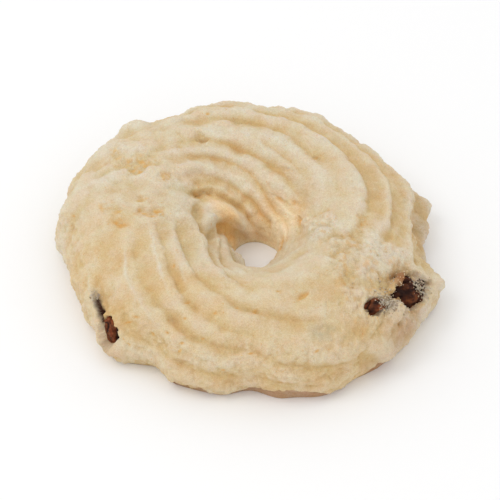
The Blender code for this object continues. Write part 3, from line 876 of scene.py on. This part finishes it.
def build_skin():
    """Positions and tones of the dough skin, where it is torn, and where the fruit's openings are."""
    angle, reach, inwards, up, normal_in, normal_up, length = smooth_ring()
    base = place(angle, inwards - foot_swell(angle, reach), up)
    radius = outer_radius(angle) - inwards

    zones = zone_shares(angle, reach, base)
    torn = zones["torn"]
    ragged = layered(base, POCKET_EDGE)
    opening, level = fruit_opening(base, ragged)
    under = lip_share(angle, reach, base)
    ridges, crease, pale = furrow_relief(angle, reach, base)
    pale = pale * window(angle, *PALE_ANGLES) * ends(reach, *PALE_ENDS)
    ridges = (ridges + PALE_LIP_LIFT * pale) * (1 - torn)
    lumps = lump_relief(angle, reach, radius)
    craters, orange = crater_relief(angle, reach, radius, base)
    crack = bell(np.clip(spot_share(angle, reach, radius, CRACK) + ragged, 0, None))
    fine = craters + sum(zones[zone] * layered(base, layers) for zone, layers in FINE_LAYERS.items())
    fine = fine * (1 - LIP_SMOOTHNESS * under)

    # The dough covers the rim of the fruit and dips below it inside the opening.
    relief = ridges + lumps + fine - CRACK_DEPTH * crack - LIP_DEPTH * under
    dipped = np.minimum(relief, np.maximum(level - POCKET_GAP, -POCKET_DEPTH))
    covered = np.maximum(relief, level + POCKET_COVER + layered(base, COVER_CRUMB))
    relief = relief + (covered - relief) * ends(opening, *COVER_ENDS)
    relief = relief + (dipped - relief) * ends(opening, *DIP_ENDS)

    # The fine relief stands square to the surface, the rest square to the section.
    feet = np.clip(np.minimum(reach, length - reach) / (FOOT_SHARE * BULGE_HEIGHT), 0, 1)
    coarse = (relief - fine) * feet
    depth = inwards + coarse * normal_in - foot_swell(angle, reach)
    points = place(angle, depth, up + coarse * normal_up)
    facing = grid_normals(base)
    facing = facing / np.linalg.norm(facing, axis=-1, keepdims=True)
    points = points + facing * (fine * feet)[..., None]
    points[..., 2] = np.clip(points[..., 2], 0, None)

    raised = ridges + lumps + fine
    hollows = -(ridges + HOLLOW_SHARE * lumps) / VALLEY_DEPTH
    patchy = mottled(base, "patchy")
    front = ends(np.abs(turned(angle, WARM_ANGLE)), WARM_HALF_WIDTH, WARM_FADE)
    creased = crease * window(angle, *CREASE_ANGLES) * begins(reach, *CREASE_BEGINS) * patchy
    speckled = torn * mottled(base, "speckles")
    stained_and_shaded = ends(opening, *STAIN_AND_SHADE_ENDS) * mottled(base, "stain_and_shade")
    warmth = np.max([strength * window(angle, at, wide) for at, wide, strength in HOLE_WARMTH], axis=0)
    bounce_light = sum(strength * window(angle, at, wide) for at, wide, strength in BOUNCE_LIGHTS)
    tones = {
        "tone": raised - blurred(raised, *TONE_BLUR),
        # painted warm shade in the furrows and hollows
        "valley_shade": np.clip(hollows, 0, MOST_VALLEY) * (1 - FRONT_SHARE * front),
        "orange": np.maximum(np.maximum(orange, CREASE_ORANGE * creased), speckled),
        "warm": front * ends(reach, *WARM_ENDS) * patchy,
        # the hole's wall: partly baked tan, partly painted warm shade
        "deep": begins(reach, *DEEP_BEGINS) * warmth,
        # painted bounce light on the hole's wall
        "bounce_light": begins(reach, *BOUNCE_LIGHT_BEGINS) * bounce_light,
        # brown: partly baked, partly painted shade under the lip and on the lower flank
        "brown_and_shade": np.maximum(under, patches(angle, reach, BROWN_AND_SHADE_PATCHES) * patchy),
        "grey": patches(angle, reach, GREY_PATCHES) * mottled(base, "grey"),
        # stain round the fruit, partly painted shade in its pockets
        "stain_and_shade": np.maximum(stained_and_shaded, patches(angle, reach, FRUIT_STAINS_AND_SHADE) * patchy),
        # painted shade inside the crack
        "crack": np.clip(CRACK_DARKNESS * crack, 0, 1),
        "pale": np.clip(PALE_STRENGTH * pale, 0, 1),
    }
    return points, tones, torn, opening


def closed_faces(rows, columns):
    """Quads of a grid that closes on itself both ways."""
    row = np.arange(rows)[:, None]
    column = np.arange(columns)[None, :]
    next_row = (row + 1) % rows
    next_column = (column + 1) % columns
    corners = [
        row * columns + column,
        next_row * columns + column,
        next_row * columns + next_column,
        row * columns + next_column,
    ]
    return np.stack([np.broadcast_to(c, (rows, columns)).ravel() for c in corners], axis=1)


def wrap_map(mesh, rows, columns):
    """One flat map of the whole closed grid, for whoever paints or bakes it."""
    row, column = np.divmod(np.arange(rows * columns), columns)
    across = (row[:, None] + np.array([0, 1, 1, 0])) / rows
    along = (column[:, None] + np.array([0, 0, 1, 1])) / columns
    layer = mesh.uv_layers.new(name="OFBake")
    layer.data.foreach_set("uv", np.stack([across, along], axis=-1).ravel())


def mesh_object(name, points, faces, tones):
    mesh = bpy.data.meshes.new(name)
    mesh.from_pydata((points * MM).tolist(), [], faces.tolist())
    for key, values in tones.items():
        mesh.attributes.new(key, "FLOAT", "POINT").data.foreach_set("value", values.astype(np.float32))
    mesh.shade_smooth()
    mesh.update()
    piece = bpy.data.objects.new(name, mesh)
    bpy.context.scene.collection.objects.link(piece)
    return piece


def dough_skin(points, tones):
    """The skin over the top and the walls, closed by a flat base."""
    back = np.arange(1, BASE_STEPS)[None, :, None] / BASE_STEPS
    base = points[:, -1:, :] + (points[:, :1, :] - points[:, -1:, :]) * back
    grid = np.concatenate([points, base], axis=1)
    rows, columns = grid.shape[:2]
    added = ((0, 0), (0, BASE_STEPS - 1))
    flat = {key: np.pad(values, added, "edge").ravel() for key, values in tones.items()}
    skin = mesh_object("dough_skin", grid.reshape(-1, 3), closed_faces(rows, columns), flat)
    wrap_map(skin.data, rows, columns)
    return skin


# -------- dried fruit
def ball(detail):
    """Points and triangles of a round ball of radius 1."""
    build = bmesh.new()
    bmesh.ops.create_icosphere(build, subdivisions=detail, radius=1.0)
    points = np.array([vertex.co[:] for vertex in build.verts])
    faces = np.array([[vertex.index for vertex in face.verts] for face in build.faces])
    build.free()
    return points, faces


def creases(points, size, seed, width):
    """1 along winding lines, falling to 0 between them."""
    return bell(value_noise(points, size, seed) / width)


def dried_fruit(name, angle, reach, out, half_sizes, turn, redness, seed):
    """A shrivelled piece of fruit, with its points, the ways they face and how far up it they are."""
    centre, first, second, outwards = fruit_axes(angle, reach, out, turn)
    axes = np.stack([first, second, outwards])
    rays, faces = ball(FRUIT_DETAIL)
    theta = np.arctan2(rays[:, 1], rays[:, 0])
    phi = np.arccos(np.clip(rays[:, 2], -1, 1))
    count, size, spin = MAIN_FOLDS
    fold = 1 + size * np.sin(count * theta + spin * seed + 2 * np.cos(phi)) * np.sin(phi)
    count, size, spin = SMALL_FOLDS
    fold = fold + size * np.sin(count * theta + spin * seed) * np.sin(2 * phi + seed) * np.sin(phi)
    body = rays * fold[:, None] * np.array(half_sizes)

    squeezed = body * np.array(WRINKLE_SQUEEZE)
    wide, start, size = WRINKLE_WANDER
    wander = [value_noise(squeezed, wide, start + seed + axis) for axis in range(3)]
    wandered = squeezed + size * np.stack(wander, axis=-1)
    relief = FRUIT_SWELL
    fold_shade = 0.0
    for wide, start, sharpness, depth, darkness in WRINKLES:
        lines = creases(wandered, wide, start + seed, sharpness)
        relief = relief - depth * lines
        fold_shade = np.maximum(fold_shade, darkness * lines)
    wide, start, size = FRUIT_LUMPS
    relief = relief + size * fractal(squeezed, wide, start + seed)
    wide, start, size = RED_PATCHES
    red = np.clip(redness + size * fractal(squeezed, wide, start + seed), 0, 1)

    points = centre + (body + rays * relief[:, None]) @ axes
    piece = mesh_object(name, points, faces, {"fold": fold_shade, "red": red})
    facing = (rays / np.array(half_sizes)) @ axes
    return piece, points, facing / np.linalg.norm(facing, axis=1, keepdims=True), rays[:, 2]


# -------- loose crumbs
def grid_normals(points):
    """Area-weighted normals of the skin's grid, which closes round the rows."""
    along = np.gradient(points, axis=1)
    around = (np.roll(points, -1, axis=0) - np.roll(points, 1, axis=0)) / 2
    return np.cross(around, along)


def chosen(weights, number, draw):
    """This many places, drawn by weight."""
    total = np.cumsum(weights.ravel())
    return np.searchsorted(total, draw.random(number) * total[-1])


def crumb_mesh(name, places, normals, sizes, draw):
    """Small uneven grains of dough, joined into one piece."""
    rays, faces = ball(1)
    number = len(places)
    lumps = draw.uniform(*CRUMB_UNEVEN, (number, len(rays), 1))
    squash = draw.uniform(*CRUMB_SQUASH, (number, 1, 3))
    spin, _ = np.linalg.qr(draw.normal(size=(number, 3, 3)))
    grains = np.einsum("nij,nkj->nki", spin, rays * lumps * squash) * sizes[:, None, None]
    grains = grains + (places + normals * (CRUMB_OUT * sizes[:, None]))[:, None, :]
    flips = np.linalg.det(spin) < 0
    numbers = faces[None] + (np.arange(number) * len(rays))[:, None, None]
    numbers[flips] = numbers[flips][:, :, ::-1]
    shade = np.repeat(draw.random(number), len(rays))
    return mesh_object(name, grains.reshape(-1, 3), numbers.reshape(-1, 3), {"shade": shade})


def crumb_sizes(number, small, large, rarity, draw):
    """Half sizes of this many crumbs, most of them small."""
    return small + (large - small) * draw.random(number) ** rarity


def scatter(points, torn, opening, fruits):
    """Dough crumbs where the top is torn, and pale ones in clusters on and by the fruit."""
    draw = np.random.default_rng(CRUMB_SEED)
    normals = grid_normals(points)
    area = np.linalg.norm(normals, axis=-1)
    skin = points.reshape(-1, 3)
    facing = (normals / area[..., None]).reshape(-1, 3)
    near = ends(opening, *EDGE_ENDS) * begins(opening, *EDGE_BEGINS)
    number, *sized = DOUGH_CRUMBS
    picked = chosen(area * (TORN_CRUMBS * torn + EDGE_CRUMBS * near * torn), number, draw)
    sizes = crumb_sizes(number, *sized, draw)
    dough = crumb_mesh("dough_crumbs", skin[picked], facing[picked], sizes, draw)

    number, *sized = PALE_CRUMBS
    places = np.concatenate([skin] + [found for found, _, _ in fruits])
    facing = np.concatenate([facing] + [ways for _, ways, _ in fruits])
    bare = area.ravel() * begins(opening.ravel(), *BARE_BEGINS)
    share = np.concatenate([bare] + [FRUIT_CRUMB_SHARE * (up > FRUIT_CRUMB_UP) for _, _, up in fruits])
    picked = []
    for angle, reach, wide, part in PALE_CLUSTERS:
        centre = fruit_axes(angle, reach, 0, 0)[0]
        away = np.linalg.norm(places - centre, axis=1) / wide
        picked.append(chosen(share * bell(away), int(number * part), draw))
    picked = np.concatenate(picked)
    sizes = crumb_sizes(len(picked), *sized, draw)
    pale = crumb_mesh("pale_crumbs", places[picked], facing[picked], sizes, draw)
    return dough, pale


# -------- materials
def node(tree, kind, **settings):
    made = tree.nodes.new(kind)
    for key, value in settings.items():
        setattr(made, key, value)
    return made


def new_material(name):
    made = bpy.data.materials.new(name)
    made.use_nodes = True
    tree = made.node_tree
    coords = node(tree, "ShaderNodeTexCoord").outputs["Object"]
    return made, tree, tree.nodes["Principled BSDF"], coords


def set_inputs(made, values):
    for name, value in values.items():
        made.inputs[name].default_value = value


def noise_texture(tree, coords, scale, detail):
    made = node(tree, "ShaderNodeTexNoise")
    set_inputs(made, {"Scale": scale, "Detail": detail, "Roughness": NOISE_ROUGHNESS})
    tree.links.new(coords, made.inputs["Vector"])
    return made.outputs["Fac"]


def mapped(tree, value, low, high, to_low=0.0, to_high=1.0):
    made = node(tree, "ShaderNodeMapRange")
    set_inputs(made, {"From Min": low, "From Max": high, "To Min": to_low, "To Max": to_high})
    tree.links.new(value, made.inputs["Value"])
    return made.outputs["Result"]


def noise_share(tree, coords, scale, detail, *ranges):
    return mapped(tree, noise_texture(tree, coords, scale, detail), *ranges)


def mixed(tree, share, first, second, blend="MIX"):
    """Two colours, each a socket or red, green and blue, blended by this share of the second."""
    made = node(tree, "ShaderNodeMix", data_type="RGBA", blend_type=blend)
    tree.links.new(share, made.inputs["Factor"])
    for socket, colour in ((made.inputs[6], first), (made.inputs[7], second)):
        if isinstance(colour, tuple):
            socket.default_value = (*colour, 1.0)
        else:
            tree.links.new(colour, socket)
    return made.outputs[2]


def attribute(tree, name):
    return node(tree, "ShaderNodeAttribute", attribute_name=name).outputs["Fac"]


def bumped(tree, shader, coords, scale, detail, strength, distance):
    made = node(tree, "ShaderNodeBump")
    set_inputs(made, {"Strength": strength, "Distance": distance})
    tree.links.new(noise_texture(tree, coords, scale, detail), made.inputs["Height"])
    tree.links.new(made.outputs["Normal"], shader.inputs["Normal"])


def srgb(red, green, blue):
    """Linear colour of a red, green and blue from 0 to 255."""
    return tuple(((c / 255 + 0.055) / 1.055) ** 2.4 for c in (red, green, blue))


def dough_shader(tree, shader, coords, colour):
    """A dry, finely grained surface over this colour."""
    for *grain, tint in GRAIN:
        colour = mixed(tree, noise_share(tree, coords, *grain), colour, tint, "MULTIPLY")
    set_inputs(shader, DOUGH_SURFACE)
    tree.links.new(colour, shader.inputs["Base Color"])
    bumped(tree, shader, coords, *DOUGH_BUMP)


def dough_material():
    made, tree, shader, coords = new_material("dough")
    raised = mapped(tree, attribute(tree, "tone"), *TONE_RANGE)
    # Crest to valley colour; the valleys' yellow is partly painted warm shade
    colour = mixed(tree, raised, srgb(*VALLEY_AND_SHADE), srgb(*CREST))
    colour = mixed(tree, attribute(tree, "orange"), colour, srgb(*PIT))
    for region, tint in REGION_TINTS:
        colour = mixed(tree, attribute(tree, region), colour, tint, "MULTIPLY")
    # The pale lip: partly paler dough, partly a painted highlight on the lit crest
    colour = mixed(tree, attribute(tree, "pale"), colour, srgb(*PALE_AND_HIGHLIGHT))
    # Painted shade inside the crack
    colour = mixed(tree, attribute(tree, "crack"), colour, srgb(*CRACK_SHADE))
    dough_shader(tree, shader, coords, colour)
    return made


def crumb_material(name, dark, light):
    made, tree, shader, coords = new_material(name)
    colour = mixed(tree, attribute(tree, "shade"), srgb(*dark), srgb(*light))
    dough_shader(tree, shader, coords, colour)
    return made


def fruit_material():
    made, tree, shader, coords = new_material("dried_fruit")
    patch = noise_share(tree, coords, *FRUIT_BLOTCHES)
    dark, reddish = (mixed(tree, patch, *(srgb(*c) for c in pair)) for pair in (DARK_FRUIT, RED_FRUIT))
    colour = mixed(tree, attribute(tree, "red"), dark, reddish)
    # Painted shade in the wrinkles
    colour = mixed(tree, attribute(tree, "fold"), colour, srgb(*WRINKLE_SHADE))
    tree.links.new(colour, shader.inputs["Base Color"])
    tree.links.new(noise_share(tree, coords, *FRUIT_SHINE), shader.inputs["Roughness"])
    set_inputs(shader, FRUIT_SURFACE)
    bumped(tree, shader, coords, *FRUIT_BUMP)
    return made


def floor_material():
    made, _, shader, _ = new_material("floor")
    set_inputs(shader, FLOOR_SURFACE)
    return made


# -------- stage
def placed(name, data, location, target):
    """An object at this place that looks at the target."""
    made = bpy.data.objects.new(name, data)
    bpy.context.scene.collection.objects.link(made)
    made.location = location
    made.rotation_euler = (Vector(target) - made.location).to_track_quat("-Z", "Y").to_euler()
    return made


def camera():
    """Looks down from the front, as in the photo."""
    target = Vector((RING_CENTRE[0], RING_CENTRE[1], AIM_HEIGHT)) * MM
    tilt = math.radians(CAMERA_TILT)
    data = bpy.data.cameras.new("camera")
    data.lens = CAMERA_LENS
    data.sensor_width = CAMERA_SENSOR
    data.clip_start, data.clip_end = CAMERA_CLIP
    location = target + CAMERA_DISTANCE * Vector((0, -math.cos(tilt), math.sin(tilt)))
    bpy.context.scene.camera = placed("camera", data, location, target)


def studio():
    world = bpy.data.worlds.new("studio")
    world.use_nodes = True
    sky = {"Color": (1.0, 1.0, 1.0, 1.0), "Strength": SKY_STRENGTH}
    set_inputs(world.node_tree.nodes["Background"], sky)
    bpy.context.scene.world = world
    bpy.context.scene.view_settings.view_transform = "Standard"
    key = bpy.data.lights.new("key", "AREA")
    key.size = KEY_SIZE
    key.energy = KEY_POWER
    placed("key", key, KEY_PLACE, (0, 0, 0))
    bpy.ops.mesh.primitive_plane_add(size=FLOOR_SIZE, location=(0, 0, -FLOOR_DROP))
    floor = bpy.context.object
    floor.name = "floor"
    floor.data.materials.append(floor_material())


# -------- the cookie
def dressed(piece, material):
    piece.data.materials.append(material)
    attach(piece, "root")


def dress():
    points, tones, torn, opening = build_skin()
    skin = dough_skin(points, tones)
    dressed(skin, dough_material())
    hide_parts("dough_ring")

    fruit = fruit_material()
    fruits = []
    for seed, (name, *spec) in enumerate(FRUIT):
        piece, *form = dried_fruit(name + "_flesh", *spec, seed)
        dressed(piece, fruit)
        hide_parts(name)
        fruits.append(form)

    dough, pale = scatter(points, torn, opening, fruits)
    dressed(dough, crumb_material("crumbs", *DOUGH_CRUMB_COLOURS))
    dressed(pale, crumb_material("pale_crumbs", *PALE_CRUMB_COLOURS))


dress()
studio()
camera()
